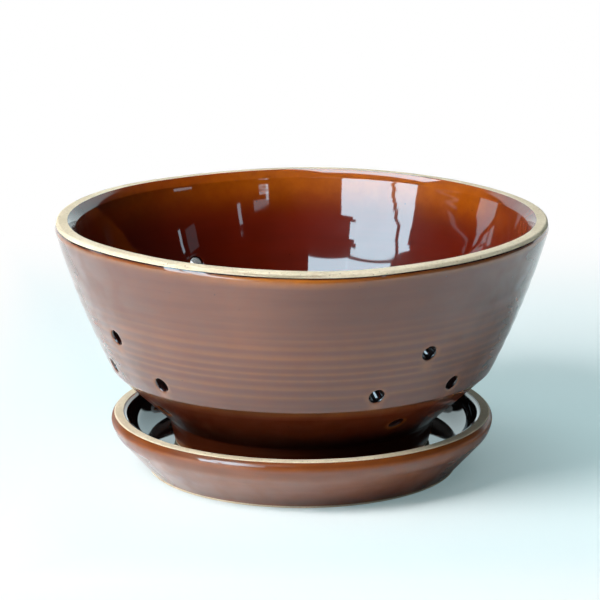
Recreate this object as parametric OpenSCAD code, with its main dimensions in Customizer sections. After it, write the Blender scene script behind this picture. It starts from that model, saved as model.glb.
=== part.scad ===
// Berry colander bowl: a wheel-thrown stoneware bowl with clusters of drain
// holes, standing loose in its own drip saucer.
// Origin: centre of the saucer's foot, on the surface that it stands on. +Z is up.

/* [Bowl] */
// Height of the bowl from the foot that it stands on to its rim
bowl_h = 79; // [70:1:95]
// Outer radius of the bowl at its rim
bowl_rim_r = 85; // [78:0.5:95]
// Thickness of the bowl's wall
bowl_wall_t = 6.8; // [5:0.1:8]
// Radius of the gentle outward curve of the wall, seen in section
bowl_wall_arc_r = 262; // [150:1:500]
// Outer radius where the wall turns under
bowl_turn_r = 65.6; // [60:0.1:70]
// Height above the bowl's foot where the wall turns under
bowl_turn_h = 27.8; // [24:0.1:32]
// Rounding of the edge where the wall turns under
bowl_turn_round = 2.6; // [1:0.1:5]
// Thickness of the bowl's floor
bowl_floor_t = 8; // [6:0.1:9]
// Radius of the hollow between the inner wall and the floor
bowl_cove_r = 34; // [24:0.5:40]
// Rounding along the outer edge of the rim
bowl_rim_round = 1.1; // [0.5:0.1:1.8]
// Width and height of the bevel along the inner edge of the rim
bowl_rim_bevel = 2.6; // [1:0.1:3.5]

/* [Bowl foot] */
// Outer radius of the foot ring where it stands
foot_r = 44; // [40:0.1:46]
// Outward lean of the foot ring from bottom to top
foot_flare = 2; // [0:0.1:4]
// Height of the foot ring outside
foot_h = 9.6; // [7:0.1:12]
// Width of the foot ring's standing face
foot_w = 6; // [4:0.1:9]
// Depth of the recess inside the foot ring
foot_recess = 8.5; // [6:0.1:10]
// Chamfer along both edges of the standing face
foot_chamfer = 0.7; // [0.3:0.1:1.5]

/* [Drain holes] */
// Diameter of a drain hole
hole_d = 4.8; // [3:0.1:6]
// Number of clusters around the wall
clusters = 4; // [3:1:5]
// Direction of the first cluster, counterclockwise from +X
cluster_turn = 34; // [0:1:90]
// Height of a cluster's middle row above the bowl's foot
cluster_h = 32.6; // [31.5:0.1:36]
// Rise from the middle row to the top hole
cluster_rise = 14; // [9:0.1:18]
// Half the distance between the two holes of the middle row, along the wall
cluster_half_w = 15.4; // [9:0.1:20]
// Place of the lowest hole, as a share of the way from the foot up to the turn
low_hole_share = 0.5; // [0.35:0.01:0.65]
// Number of holes in the floor, inside the foot ring
floor_hole_count = 4; // [0:1:6]
// Distance of each floor hole from the middle of the floor
floor_hole_place = 12; // [8:0.5:20]

/* [Throwing rings] */
// Number of shallow rings that the fingers left in the wall
rings = 6; // [0:1:7]
// Depth of a ring
ring_depth = 0.3; // [0.1:0.05:0.5]
// Radius of the finger groove in section
ring_groove_r = 9; // [5:0.5:14]
// Height of the lowest ring above the turn edge
ring_start = 6; // [4:0.5:9]
// Distance from ring to ring
ring_pitch = 5.2; // [4.8:0.1:5.6]

/* [Saucer] */
// Height of the saucer
saucer_h = 19.5; // [16:0.1:24]
// Outer radius of the saucer at its rim
saucer_rim_r = 66; // [63:0.1:75]
// Width of the saucer's flat rim
saucer_rim_w = 5.4; // [4:0.1:7]
// Rounding along both edges of the saucer's rim
saucer_rim_round = 1; // [0.5:0.1:1.8]
// Height of the upright band under the rim
saucer_band_h = 2; // [1.9:0.1:4]
// Rounding from the upright band to the flaring wall
saucer_shoulder_r = 8; // [4:0.1:12]
// Radius of the saucer's foot
saucer_foot_r = 53.4; // [50:0.1:56]
// Height of the bare clay line around the foot
saucer_foot_line = 1.2; // [0.6:0.1:2.5]
// Thickness of the saucer's floor
saucer_floor_t = 6; // [4:0.1:7]
// Depth of the recess under the saucer
saucer_recess = 2.5; // [1.5:0.1:4]
// Width of the ring that the saucer stands on
saucer_foot_w = 6; // [4:0.1:10]
// Radius of the hollow between the saucer's wall and its floor
saucer_cove_r = 9.6; // [6:0.1:11]

/* [Hidden] */
$fn = 180;
// Overrun of every cut past the surface that it opens
cut = 1;

glaze_brown = [0.42, 0.20, 0.11];
saucer_brown = [0.47, 0.25, 0.15];

// Saucer floor, on which the bowl stands
saucer_floor_h = saucer_recess + saucer_floor_t;
bowl_z = saucer_floor_h;

function unit(v) = v / norm(v);
// Point on a circle where a line from an outside point touches it, on its right side
function tangent_point(from, centre, r) =
    let (
        v = from - centre,
        d = norm(v)
    )
    centre + v * pow(r / d, 2) + [-v[1], v[0]] * (r / d) * sqrt(1 - pow(r / d, 2));

// Centre of the wall's outer curve: it passes through the turn edge and the rim
turn_point = [bowl_turn_r, bowl_turn_h];
rim_point = [bowl_rim_r, bowl_h];
wall_chord = rim_point - turn_point;
wall_normal = unit([-wall_chord[1], wall_chord[0]]);
wall_centre = (turn_point + rim_point) / 2
    + wall_normal * sqrt(pow(bowl_wall_arc_r, 2) - pow(norm(wall_chord) / 2, 2));
inner_arc_r = bowl_wall_arc_r - bowl_wall_t;

// Radius on a curve about the wall's centre, at a height above the bowl's foot
function arc_x(arc_r, h) = wall_centre[0] + sqrt(pow(arc_r, 2) - pow(h - wall_centre[1], 2));
// The same curve's point in line with another point, seen from the wall's centre
function on_arc(arc_r, point) = wall_centre + unit(point - wall_centre) * arc_r;

// Underside between the foot ring and the turn edge
foot_top = [foot_r + foot_flare, foot_h];
under_dir = unit(turn_point - foot_top);
under_in = [-under_dir[1], under_dir[0]];

// Rounding of the turn edge: it touches the underside and the wall's outer curve
turn_start = foot_top + under_in * bowl_turn_round - wall_centre;
turn_along = -under_dir * turn_start
    + sqrt(pow(under_dir * turn_start, 2) - turn_start * turn_start
        + pow(bowl_wall_arc_r - bowl_turn_round, 2));
turn_centre = wall_centre + turn_start + under_dir * turn_along;
turn_low = turn_centre - under_in * bowl_turn_round;
turn_high = on_arc(bowl_wall_arc_r, turn_centre);

// Rim: rounded along its outer edge and bevelled along its inner one
rim_round_h = bowl_h - bowl_rim_round;
rim_out_centre = [arc_x(bowl_wall_arc_r - bowl_rim_round, rim_round_h), rim_round_h];
rim_out_touch = on_arc(bowl_wall_arc_r, rim_out_centre);
bevel_low = [arc_x(inner_arc_r, bowl_h - bowl_rim_bevel), bowl_h - bowl_rim_bevel];
bevel_high = bevel_low + [bowl_rim_bevel, bowl_rim_bevel];

// Inside of the bowl
floor_top = foot_recess + bowl_floor_t;
cove_h = floor_top + bowl_cove_r;
cove_centre = [arc_x(inner_arc_r - bowl_cove_r, cove_h), cove_h];
cove_touch = on_arc(inner_arc_r, cove_centre);
recess_r = foot_r - foot_w;

// Reach of a wall hole's cut, well past the clay that it goes through
hole_reach = bowl_wall_t * 3;

// Saucer's outside: foot, flaring line, shoulder and upright band
shoulder_centre = [saucer_rim_r - saucer_shoulder_r, saucer_h - saucer_band_h];
flare_foot = [saucer_foot_r, saucer_foot_line];
flare_top = tangent_point(flare_foot, shoulder_centre, saucer_shoulder_r);
well_r = saucer_rim_r - saucer_rim_w;
saucer_cove_centre = [well_r - saucer_cove_r, saucer_floor_h + saucer_cove_r];
saucer_recess_r = saucer_foot_r - saucer_foot_w;

// Disc of a radius about a point of the section
module disc_at(centre, r) {
    translate(centre)
        circle(r = r);
}

// Solid outer form of the bowl in section, before it is hollowed
module bowl_outer_section() {
    intersection() {
        disc_at(wall_centre, bowl_wall_arc_r);
        translate([0, turn_high[1]])
            square([bowl_rim_r * 2, rim_out_touch[1] - turn_high[1]]);
    }
    polygon([
        [0, 0], [foot_r - foot_chamfer, 0], [foot_r, foot_chamfer], foot_top,
        turn_low, turn_centre, turn_high, [0, turn_high[1]]
    ]);
    disc_at(turn_centre, bowl_turn_round);
    polygon([
        [0, rim_out_touch[1]], rim_out_touch, rim_out_centre,
        [rim_out_centre[0], bowl_h], [0, bowl_h]
    ]);
    disc_at(rim_out_centre, bowl_rim_round);
}

// Hollow of the bowl in section
module bowl_inner_section() {
    intersection() {
        disc_at(wall_centre, inner_arc_r);
        translate([0, cove_touch[1]])
            square([bowl_rim_r * 2, bevel_low[1] - cove_touch[1]]);
    }
    intersection() {
        disc_at(cove_centre, bowl_cove_r);
        translate([cove_centre[0], floor_top - cut])
            square([bowl_cove_r + cut, bowl_cove_r * 2]);
    }
    translate([0, floor_top])
        square([cove_centre[0], cove_touch[1] - floor_top]);
    polygon([
        [0, bevel_low[1]], bevel_low, bevel_high + [cut, cut],
        [0, bowl_h + cut]
    ]);
}

// Shallow finger grooves in the lower half of the wall, in section
module ring_grooves() {
    for (i = [0 : 1 : rings - 1]) {
        h = bowl_turn_h + ring_start + i * ring_pitch;
        groove_point = [arc_x(bowl_wall_arc_r, h), h];
        out = unit(groove_point - wall_centre);
        disc_at(groove_point + out * (ring_groove_r - ring_depth), ring_groove_r);
    }
}

module bowl_section() {
    difference() {
        bowl_outer_section();
        bowl_inner_section();
        polygon([
            [0, -cut], [recess_r + foot_chamfer + cut, -cut],
            [recess_r, foot_chamfer], [recess_r, foot_recess], [0, foot_recess]
        ]);
        ring_grooves();
    }
}

// Round hole square to the surface: from a point of the outer section, inwards
module wall_hole(point, out, turn) {
    rotate([0, 0, turn])
        translate([point[0], 0, point[1]])
            rotate([0, atan2(out[0], out[1]), 0])
                translate([0, 0, -hole_reach])
                    cylinder(d = hole_d, h = hole_reach + cut);
}

// Four holes in a diamond: one above, two beside it and one under the turn edge
module hole_cluster(turn) {
    high = [arc_x(bowl_wall_arc_r, cluster_h + cluster_rise), cluster_h + cluster_rise];
    mid = [arc_x(bowl_wall_arc_r, cluster_h), cluster_h];
    side_turn = cluster_half_w / mid[0] * 180 / PI;
    low = foot_top + (turn_point - foot_top) * low_hole_share;
    wall_hole(high, unit(high - wall_centre), turn);
    for (side = [-1, 1])
        wall_hole(mid, unit(mid - wall_centre), turn + side * side_turn);
    wall_hole(low, -under_in, turn);
}

// Holes through the floor, inside the foot ring
module floor_holes() {
    for (i = [0 : 1 : floor_hole_count - 1])
        rotate([0, 0, cluster_turn + i * 360 / floor_hole_count])
            translate([floor_hole_place, 0, foot_recess - cut])
                cylinder(d = hole_d, h = bowl_floor_t + cut * 2);
}

module colander_bowl() {
    color(glaze_brown)
        translate([0, 0, bowl_z])
            difference() {
                rotate_extrude()
                    bowl_section();
                for (i = [0 : 1 : clusters - 1])
                    hole_cluster(cluster_turn + i * 360 / clusters);
                floor_holes();
            }
}

// Solid outer form of the saucer in section, before it is hollowed
module saucer_outer_section() {
    polygon([
        [0, 0], [saucer_foot_r, 0], flare_foot, flare_top, shoulder_centre,
        [0, shoulder_centre[1]]
    ]);
    intersection() {
        disc_at(shoulder_centre, saucer_shoulder_r);
        square([saucer_rim_r, shoulder_centre[1]]);
    }
    translate([0, shoulder_centre[1]])
        square([saucer_rim_r, saucer_band_h - saucer_rim_round]);
    translate([0, shoulder_centre[1]])
        square([saucer_rim_r - saucer_rim_round, saucer_band_h]);
    disc_at([saucer_rim_r - saucer_rim_round, saucer_h - saucer_rim_round], saucer_rim_round);
}

// Well of the saucer in section, open at the rim
module saucer_well_section() {
    intersection() {
        disc_at(saucer_cove_centre, saucer_cove_r);
        translate([saucer_cove_centre[0], saucer_floor_h - cut])
            square([saucer_cove_r + cut, saucer_cove_r + cut]);
    }
    translate([0, saucer_floor_h])
        square([saucer_cove_centre[0], saucer_h]);
    translate([0, saucer_cove_centre[1]])
        square([well_r, saucer_h]);
    translate([0, saucer_h - saucer_rim_round])
        square([well_r + saucer_rim_round, saucer_rim_round + cut]);
}

module drip_saucer() {
    color(saucer_brown)
        rotate_extrude() {
            difference() {
                saucer_outer_section();
                saucer_well_section();
                translate([0, -cut])
                    square([saucer_recess_r, saucer_recess + cut]);
            }
            disc_at([well_r + saucer_rim_round, saucer_h - saucer_rim_round], saucer_rim_round);
        }
}

drip_saucer();
colander_bowl();
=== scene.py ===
"""A wheel-thrown berry colander bowl on its drip saucer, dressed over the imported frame.

Sizes are in millimetres wherever a name or a comment doesn't say otherwise, and meshes are
in metres. Directions round the bowl are in degrees from the front, turning to the right.
"""

import logging
import math
from collections.abc import Callable
from dataclasses import dataclass, field
from enum import Enum

import bpy
import numpy as np
from mathutils import Matrix, Vector


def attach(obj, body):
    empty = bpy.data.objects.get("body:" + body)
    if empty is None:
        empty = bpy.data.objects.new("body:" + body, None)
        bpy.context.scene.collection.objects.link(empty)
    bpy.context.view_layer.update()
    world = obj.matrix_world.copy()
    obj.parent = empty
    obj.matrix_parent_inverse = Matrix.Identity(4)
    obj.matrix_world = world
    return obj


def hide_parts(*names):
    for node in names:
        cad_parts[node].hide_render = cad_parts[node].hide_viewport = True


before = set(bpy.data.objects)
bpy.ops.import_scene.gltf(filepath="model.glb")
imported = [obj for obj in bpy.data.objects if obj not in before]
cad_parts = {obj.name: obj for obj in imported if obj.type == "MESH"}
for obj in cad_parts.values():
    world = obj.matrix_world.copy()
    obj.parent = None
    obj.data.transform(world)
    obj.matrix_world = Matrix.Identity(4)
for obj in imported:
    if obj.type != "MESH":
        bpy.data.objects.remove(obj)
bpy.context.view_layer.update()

LOG = logging.getLogger("berry_bowl")
MM = 0.001
Pair = tuple[float, float]
Colour = tuple[float, float, float]
Socket = bpy.types.NodeSocket
Value = float | Socket
Tint = Colour | Socket


class Body(Enum):
    """The bodies of the frame."""

    BOWL = "bowl"
    SAUCER = "saucer"


class Finish(Enum):
    """The surfaces that a piece of glazed stoneware shows."""

    OUTSIDE = "glaze_outside"
    INSIDE = "glaze_inside"
    SAUCER_WALL = "glaze_saucer_wall"
    SAUCER_WELL = "glaze_saucer_well"
    CLAY = "bare_clay"


def srgb(red: float, green: float, blue: float) -> Colour:
    """Turns a colour as it is seen on a screen, 0 to 255, into linear light.

    Args:
        red: Red part.
        green: Green part.
        blue: Blue part.

    Returns:
        The same colour in linear light, 0 to 1.
    """
    def linear(value: float) -> float:
        """Linear light of one part."""
        part = value / 255
        return part / 12.92 if part <= 0.04045 else ((part + 0.055) / 1.055) ** 2.4

    return linear(red), linear(green), linear(blue)


def toward(direction: float) -> tuple[float, float]:
    """X and Y of the unit step in a direction round the bowl, in degrees from the front."""
    return math.sin(math.radians(direction)), -math.cos(math.radians(direction))


def apart(first: np.ndarray | float, second: float) -> np.ndarray | float:
    """Shortest turn from the second direction to the first, in degrees."""
    return (first - second + 180) % 360 - 180


def climb(values: np.ndarray, start: float, full: float) -> np.ndarray:
    """0 before the start, 1 from full on and straight between, in either direction."""
    return np.clip((values - start) / (full - start), 0, 1)


def hump(values: np.ndarray, middle: float, spread: float, power: int = 2) -> np.ndarray:
    """1 in the middle and nothing a few spreads away from it."""
    return np.exp(-((values - middle) / spread) ** power)


# ---- Sections and the wheel ----


@dataclass
class Section:
    """Half of a thrown form, cut through its axis, as radius and height in millimetres."""

    points: list[Pair] = field(default_factory=list)
    finishes: list[Finish] = field(default_factory=list)
    corners: dict[int, float] = field(default_factory=dict)
    finish: Finish = Finish.CLAY

    def start(self, r: float, z: float) -> "Section":
        """Sets the first point."""
        self.points.append((r, z))
        return self

    def dress(self, finish: Finish) -> "Section":
        """Names the finish of what follows."""
        self.finish = finish
        return self

    def line(self, r: float, z: float, step: float = 1.2) -> "Section":
        """Goes straight on to a point.

        Args:
            r: Radius of the point.
            z: Height of the point.
            step: Longest piece of the line.

        Returns:
            The section itself.
        """
        r0, z0 = self.points[-1]
        count = max(1, math.ceil(math.hypot(r - r0, z - z0) / step))
        for i in range(1, count + 1):
            self.points.append((r0 + (r - r0) * i / count, z0 + (z - z0) * i / count))
            self.finishes.append(self.finish)
        return self

    def arc(self, centre: Pair, r: float, z: float, step: float = 0.8) -> "Section":
        """Goes on to a point along a circle.

        Args:
            centre: Centre of the circle.
            r: Radius of the end point.
            z: Height of the end point.
            step: Longest piece of the curve.

        Returns:
            The section itself.
        """
        r0, z0 = self.points[-1]
        first = math.atan2(z0 - centre[1], r0 - centre[0])
        last = math.atan2(z - centre[1], r - centre[0])
        turn = (last - first + math.pi) % (2 * math.pi) - math.pi
        reach = math.hypot(r0 - centre[0], z0 - centre[1])
        count = max(2, math.ceil(abs(turn) * reach / step))
        for i in range(1, count + 1):
            angle = first + turn * i / count
            self.points.append((centre[0] + reach * math.cos(angle),
                                centre[1] + reach * math.sin(angle)))
            self.finishes.append(self.finish)
        return self

    def bow(self, r: float, z: float, rise: float, step: float = 0.5) -> "Section":
        """Goes on to a point along a flat curve that swells out of the clay.

        Args:
            r: Radius of the end point.
            z: Height of the end point.
            rise: How far the curve's middle stands out of the straight line.
            step: Longest piece of the curve.

        Returns:
            The section itself.
        """
        r0, z0 = self.points[-1]
        half = math.hypot(r - r0, z - z0) / 2
        reach = (half ** 2 + rise ** 2) / (2 * rise)
        back = (reach - rise) / (2 * half)
        centre = ((r0 + r) / 2 - (z - z0) * back, (z0 + z) / 2 + (r - r0) * back)
        return self.arc(centre, r, z, step)

    def corner(self, radius: float) -> "Section":
        """Rounds the point that was set last, once the next one is known."""
        self.corners[len(self.points) - 1] = radius
        return self

    def _along(self, index: int, way: int, length: float) -> tuple[Pair, int]:
        """Finds the point a length away from a corner, along the section.

        Args:
            index: Number of the corner's point.
            way: 1 to go on from the corner, -1 to go back.
            length: How far to go.

        Returns:
            The point, and the number of the last point passed on the way to it.
        """
        here = self.points[index]
        while True:
            there = self.points[index + way]
            span = math.dist(here, there)
            if span >= length or not 0 < index + way < len(self.points) - 1:
                share = min(1.0, length / span)
                return ((here[0] + (there[0] - here[0]) * share,
                         here[1] + (there[1] - here[1]) * share), index)
            length -= span
            index += way
            here = there

    def rounded(self, steps: int = 6) -> "Section":
        """Builds the section anew with its corners rounded.

        Args:
            steps: Pieces of each rounding.

        Returns:
            A new section.
        """
        made = Section(points=[self.points[0]])
        skip_to = 0
        for i in range(1, len(self.points)):
            if i in self.corners:
                before, here, after = self.points[i - 1], self.points[i], self.points[i + 1]
                a = Vector((here[0] - before[0], here[1] - before[1])).normalized()
                b = Vector((after[0] - here[0], after[1] - here[1])).normalized()
                turn = math.acos(max(-1.0, min(1.0, a.dot(b))))
                reach = self.corners[i] * math.tan(turn / 2)
                start, back = self._along(i, -1, reach)
                end, ahead = self._along(i, 1, reach)
                while (len(made.points) > 1 and back < i
                       and made.points[-1] != self.points[back - 1]
                       and math.dist(made.points[-1], here) < math.dist(start, here)):
                    made.points.pop()
                    made.finishes.pop()
                weight = math.cos(turn / 2)
                for k in range(steps + 1):
                    t = k / steps
                    parts = ((1 - t) ** 2, 2 * weight * t * (1 - t), t ** 2)
                    made.points.append(tuple(
                        (parts[0] * start[n] + parts[1] * here[n] + parts[2] * end[n])
                        / sum(parts) for n in (0, 1)))
                    made.finishes.append(self.finishes[i - (t <= 0.5)])
                skip_to = ahead
            elif i > skip_to:
                made.points.append(self.points[i])
                made.finishes.append(self.finishes[i - 1])
        return made

    def pushed(self, shift: Callable[[Pair, Finish], float]) -> "Section":
        """Moves each point square to the section.

        Args:
            shift: Function of a point and its finish that gives how far out it goes.

        Returns:
            A new section.
        """
        moved = [self.points[0]]
        for i in range(1, len(self.points) - 1):
            (r0, z0), (r1, z1) = self.points[i - 1], self.points[i + 1]
            along = Vector((r1 - r0, z1 - z0)).normalized()
            r, z = self.points[i]
            out = shift((r, z), self.finishes[i])
            moved.append((r + along.y * out, z - along.x * out))
        moved.append(self.points[-1])
        return Section(points=moved, finishes=list(self.finishes))


def only(piece: bpy.types.Object) -> None:
    """Selects one object alone and makes it the active one.

    Args:
        piece: The object.
    """
    bpy.ops.object.select_all(action="DESELECT")
    piece.select_set(True)
    bpy.context.view_layer.objects.active = piece


def begin() -> None:
    """Deselects everything, so that the next operator acts on its own piece alone."""
    bpy.ops.object.select_all(action="DESELECT")


def remove(piece: bpy.types.Object) -> None:
    """Deletes one object."""
    only(piece)
    bpy.ops.object.delete()


def change(piece: bpy.types.Object, kind: str, **settings: object) -> None:
    """Puts a modifier on a piece and applies it.

    Args:
        piece: The piece.
        kind: Blender's type of the modifier.
        settings: The modifier's own settings.
    """
    only(piece)
    bpy.ops.object.modifier_add(type=kind)
    modifier = piece.modifiers[-1]
    for name, value in settings.items():
        setattr(modifier, name, value)
    bpy.ops.object.modifier_apply(modifier=modifier.name)


def throw(name: str, section: Section, steps: int) -> bpy.types.Object:
    """Draws a section point by point and spins it round the axis, as on a wheel.

    Args:
        name: Name of the piece.
        section: The section, from the axis back to the axis.
        steps: Pieces of the full turn.

    Returns:
        The thrown piece, a closed mesh with its faces outwards.
    """
    begin()
    first = section.points[0]
    bpy.ops.mesh.primitive_plane_add(size=MM, location=(first[0] * MM, 0, first[1] * MM))
    piece = bpy.context.object
    piece.name = name
    piece.data.name = name
    bpy.ops.object.mode_set(mode="EDIT")
    bpy.ops.mesh.merge(type="CENTER")
    for before, after in zip(section.points, section.points[1:]):
        bpy.ops.mesh.extrude_vertices_move(TRANSFORM_OT_translate={
            "value": ((after[0] - before[0]) * MM, 0, (after[1] - before[1]) * MM)})
    bpy.ops.mesh.select_all(action="SELECT")
    bpy.ops.mesh.spin(steps=steps, angle=2 * math.pi, center=(0, 0, 0), axis=(0, 0, 1))
    bpy.ops.mesh.select_all(action="SELECT")
    bpy.ops.mesh.remove_doubles(threshold=MM / 1000)
    bpy.ops.mesh.normals_make_consistent(inside=False)
    bpy.ops.object.mode_set(mode="OBJECT")
    bpy.ops.object.transform_apply(location=True, rotation=True, scale=True)
    return piece


@dataclass(frozen=True)
class Hole:
    """A drain hole cut square to the surface while the clay was leather hard.

    The glaze breaks thin in a ring round its mouth and in a run below it.
    """

    point: tuple[float, float, float]
    out: tuple[float, float, float]
    depth: float
    radius: float
    lip: float = 1.1
    past: float = 1.6
    sides: int = 40
    flare: float = 80.0
    ring_w: float = 0.7
    ring_share: float = 0.2
    ring_depth: float = 2.5
    run_drop: float = 2.6
    run_reach: float = 2.3
    run_share: float = 0.6
    bore_w: float = 0.35

    def spool(self) -> Section:
        """Section of the cutter: a spool whose flared ends round the hole's two lips.

        Returns:
            The section, along the hole's axis from inside to outside.
        """
        flare = math.radians(self.flare)
        section = Section().start(0, -self.depth - self.past)
        wide = self.radius + self.lip - self.lip * math.cos(flare)
        rise = self.past + self.lip - self.lip * math.sin(flare)
        rim = wide + rise * math.tan(flare)
        section.line(rim, -self.depth - self.past, step=math.inf)
        section.line(wide, -self.depth + self.lip * (1 - math.sin(flare)), step=math.inf)
        section.arc((self.radius + self.lip, -self.depth + self.lip),
                    self.radius, -self.depth + self.lip, step=0.28)
        section.line(self.radius, -self.lip, step=1.6)
        section.arc((self.radius + self.lip, -self.lip),
                    wide, -self.lip * (1 - math.sin(flare)), step=0.28)
        section.line(rim, self.past, step=math.inf)
        section.line(0, self.past, step=math.inf)
        return section

    def marks(self, places: np.ndarray) -> tuple[np.ndarray, np.ndarray]:
        """How the glaze takes the hole.

        Args:
            places: Places on the piece, in millimetres.

        Returns:
            The share of thin glaze at each place, and whether it lies in the bore.
        """
        offset = places - np.array(self.point)
        along = offset @ np.array(self.out)
        side = np.linalg.norm(offset - along[:, None] * np.array(self.out), axis=1)
        ring = hump(side, self.radius + self.ring_w, self.ring_w)
        ring *= self.ring_share * (np.abs(along) < self.ring_depth)
        run = np.linalg.norm(offset + (0, 0, self.radius + self.run_drop), axis=1)
        bore = (side < self.radius + self.bore_w) & (along < 1) & (along > -self.depth - 1)
        return np.maximum(ring, self.run_share * hump(run, 0, self.run_reach)), bore

    def cutter(self) -> bpy.types.Object:
        """Makes the cutter and stands it in the hole's place.

        Returns:
            The cutter, a closed mesh.
        """
        tool = throw("hole_cutter", self.spool(), self.sides)
        turn = Vector((0, 0, 1)).rotation_difference(Vector(self.out)).to_matrix().to_4x4()
        tool.matrix_world = Matrix.Translation(Vector(self.point) * MM) @ turn
        only(tool)
        bpy.ops.object.transform_apply(location=True, rotation=True, scale=True)
        return tool


def punch(piece: bpy.types.Object, holes: list[Hole]) -> None:
    """Cuts all of a piece's holes in one pass.

    Args:
        piece: The thrown piece.
        holes: Its holes.
    """
    tools = [hole.cutter() for hole in holes]
    begin()
    for tool in tools:
        tool.select_set(True)
    bpy.context.view_layer.objects.active = tools[0]
    bpy.ops.object.join()
    cutter = bpy.context.object
    change(piece, "BOOLEAN", operation="DIFFERENCE", solver="EXACT", object=cutter)
    remove(cutter)


@dataclass(frozen=True)
class Swell:
    """A place where the hand left the rim a little high or low."""

    direction: float
    spread: float
    lift: float

    def at(self, direction: float) -> float:
        """Lift that this place gives in some direction, in millimetres."""
        return self.lift * float(hump(apart(direction, self.direction), 0, self.spread))


def bend(piece: bpy.types.Object, swells: tuple[Swell, ...], low: float, rim: float,
         reach: float, cells: int = 15, loose: float = 1.1, spare: float = 1.02) -> None:
    """Bends a thrown form a little out of true with a lattice, most of all at its rim.

    Args:
        piece: The piece.
        swells: Where its rim stands high or low.
        low: Height below which nothing moves.
        rim: Height of the rim.
        reach: Radius of the rim.
        cells: Lattice points along X and along Y.
        loose: How much wider than the rim the lattice is.
        spare: How much taller than the moved part it is.
    """
    wide, tall = 2 * reach * loose, (rim - low) * spare
    begin()
    bpy.ops.object.add(type="LATTICE", location=(0, 0, (low + rim) / 2 * MM))
    cage = bpy.context.object
    cage.scale = (wide * MM, wide * MM, tall * MM)
    cage.data.points_u = cage.data.points_v = cells
    cage.data.points_w = 3
    for point in cage.data.points:
        x, y, z = point.co[0] * wide, point.co[1] * wide, point.co[2] + 0.5
        direction = math.degrees(math.atan2(x, -y))
        share = min(1.0, math.hypot(x, y) / reach) ** 2 * z ** 2
        lift = sum(swell.at(direction) for swell in swells)
        point.co_deform[2] += lift * share / tall
    change(piece, "LATTICE", object=cage)
    remove(cage)


def coordinates(piece: bpy.types.Object) -> np.ndarray:
    """Reads where a piece's vertices are.

    Args:
        piece: The piece.

    Returns:
        Their places, in millimetres.
    """
    found = np.zeros(len(piece.data.vertices) * 3)
    piece.data.vertices.foreach_get("co", found)
    return found.reshape(-1, 3) / MM


def write_attribute(piece: bpy.types.Object, name: str, values: np.ndarray) -> None:
    """Keeps one number per vertex on the mesh, for its materials to read."""
    layer = piece.data.attributes.new(name=name, type="FLOAT", domain="POINT")
    layer.data.foreach_set("value", np.clip(values, 0, 1).astype(np.float32))


@dataclass(frozen=True)
class Edge:
    """A ring of the form where the glaze runs thin."""

    r: float
    z: float
    reach: float
    strength: float
    inside: bool = False

    def share(self, r: np.ndarray, z: np.ndarray) -> np.ndarray:
        """How strongly it shows at places of a radius and a height."""
        return self.strength * hump(np.hypot(r - self.r, z - self.z), 0, self.reach)


# ---- Materials ----


class Tree:
    """A node tree that is put together in a few words."""

    def __init__(self, tree: bpy.types.NodeTree) -> None:
        """Takes a tree and empties it."""
        self.tree = tree
        tree.nodes.clear()

    def add(self, kind: str, inputs: dict | None = None, **settings: object
            ) -> bpy.types.Node:
        """Adds a node.

        Args:
            kind: Blender's type of the node.
            inputs: Value, or socket to link, of each named or numbered input.
            settings: The node's own settings.

        Returns:
            The node.
        """
        node = self.tree.nodes.new(kind)
        for name, value in settings.items():
            setattr(node, name, value)
        for name, value in (inputs or {}).items():
            if isinstance(value, bpy.types.NodeSocket):
                self.tree.links.new(value, node.inputs[name])
            else:
                node.inputs[name].default_value = value
        return node

    def math(self, operation: str, *values: Value, clamp: bool = False) -> Socket:
        """Result of a Math node on one, two or three values or sockets."""
        return self.add("ShaderNodeMath", dict(enumerate(values)), operation=operation,
                        use_clamp=clamp).outputs[0]

    def times(self, first: Value, second: Value, *more: Value) -> Socket:
        """Product of two or more values."""
        made = self.math("MULTIPLY", first, second)
        return self.times(made, *more) if more else made

    def place(self) -> Socket:
        """Place on the object, in metres."""
        return self.add("ShaderNodeTexCoord").outputs["Object"]

    def mark(self, name: str) -> Socket:
        """A number kept on the mesh."""
        return self.add("ShaderNodeAttribute", attribute_name=name).outputs["Fac"]

    def axes(self, vector: Socket) -> bpy.types.NodeOutputs:
        """X, Y and Z of a vector."""
        return self.add("ShaderNodeSeparateXYZ", {"Vector": vector}).outputs

    def ramp(self, value: Socket, low: float, high: float, to_low: float = 0.0,
             to_high: float = 1.0) -> Socket:
        """Maps a range of a value smoothly to another range.

        Args:
            value: The value.
            low: Start of its range.
            high: End of its range.
            to_low: What the start becomes, and all that lies before it.
            to_high: What the end becomes, and all that lies past it.

        Returns:
            The mapped value.
        """
        return self.add("ShaderNodeMapRange", {
            "Value": value, "From Min": low, "From Max": high, "To Min": to_low,
            "To Max": to_high}, interpolation_type="SMOOTHSTEP").outputs["Result"]

    def fall(self, value: Socket, low: float, high: float) -> Socket:
        """Falls smoothly from 1 at the low end of a range to 0 at its high end."""
        return self.ramp(value, low, high, 1.0, 0.0)

    def mix(self, share: Value, first: Tint, second: Tint) -> Socket:
        """Mixes two colours.

        Args:
            share: How much of the second colour there is.
            first: First colour, or a socket that gives it.
            second: Second colour, or a socket that gives it.

        Returns:
            The mixed colour.
        """
        first, second = ((*tint, 1) if isinstance(tint, tuple) else tint
                         for tint in (first, second))
        return self.add("ShaderNodeMix", {0: share, 6: first, 7: second},
                        data_type="RGBA").outputs[2]

    def noise(self, place: Socket, scale: Value, detail: float = 2.0, rough: float = 0.5
              ) -> Socket:
        """Adds soft noise.

        Args:
            place: Where it is read.
            scale: How fine it is, in waves to a metre.
            detail: How many finer layers lie on it.
            rough: How strong they are.

        Returns:
            The noise, 0 to 1.
        """
        return self.add("ShaderNodeTexNoise", {
            "Vector": place, "Scale": scale, "Detail": detail, "Roughness": rough}
        ).outputs["Fac"]


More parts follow.
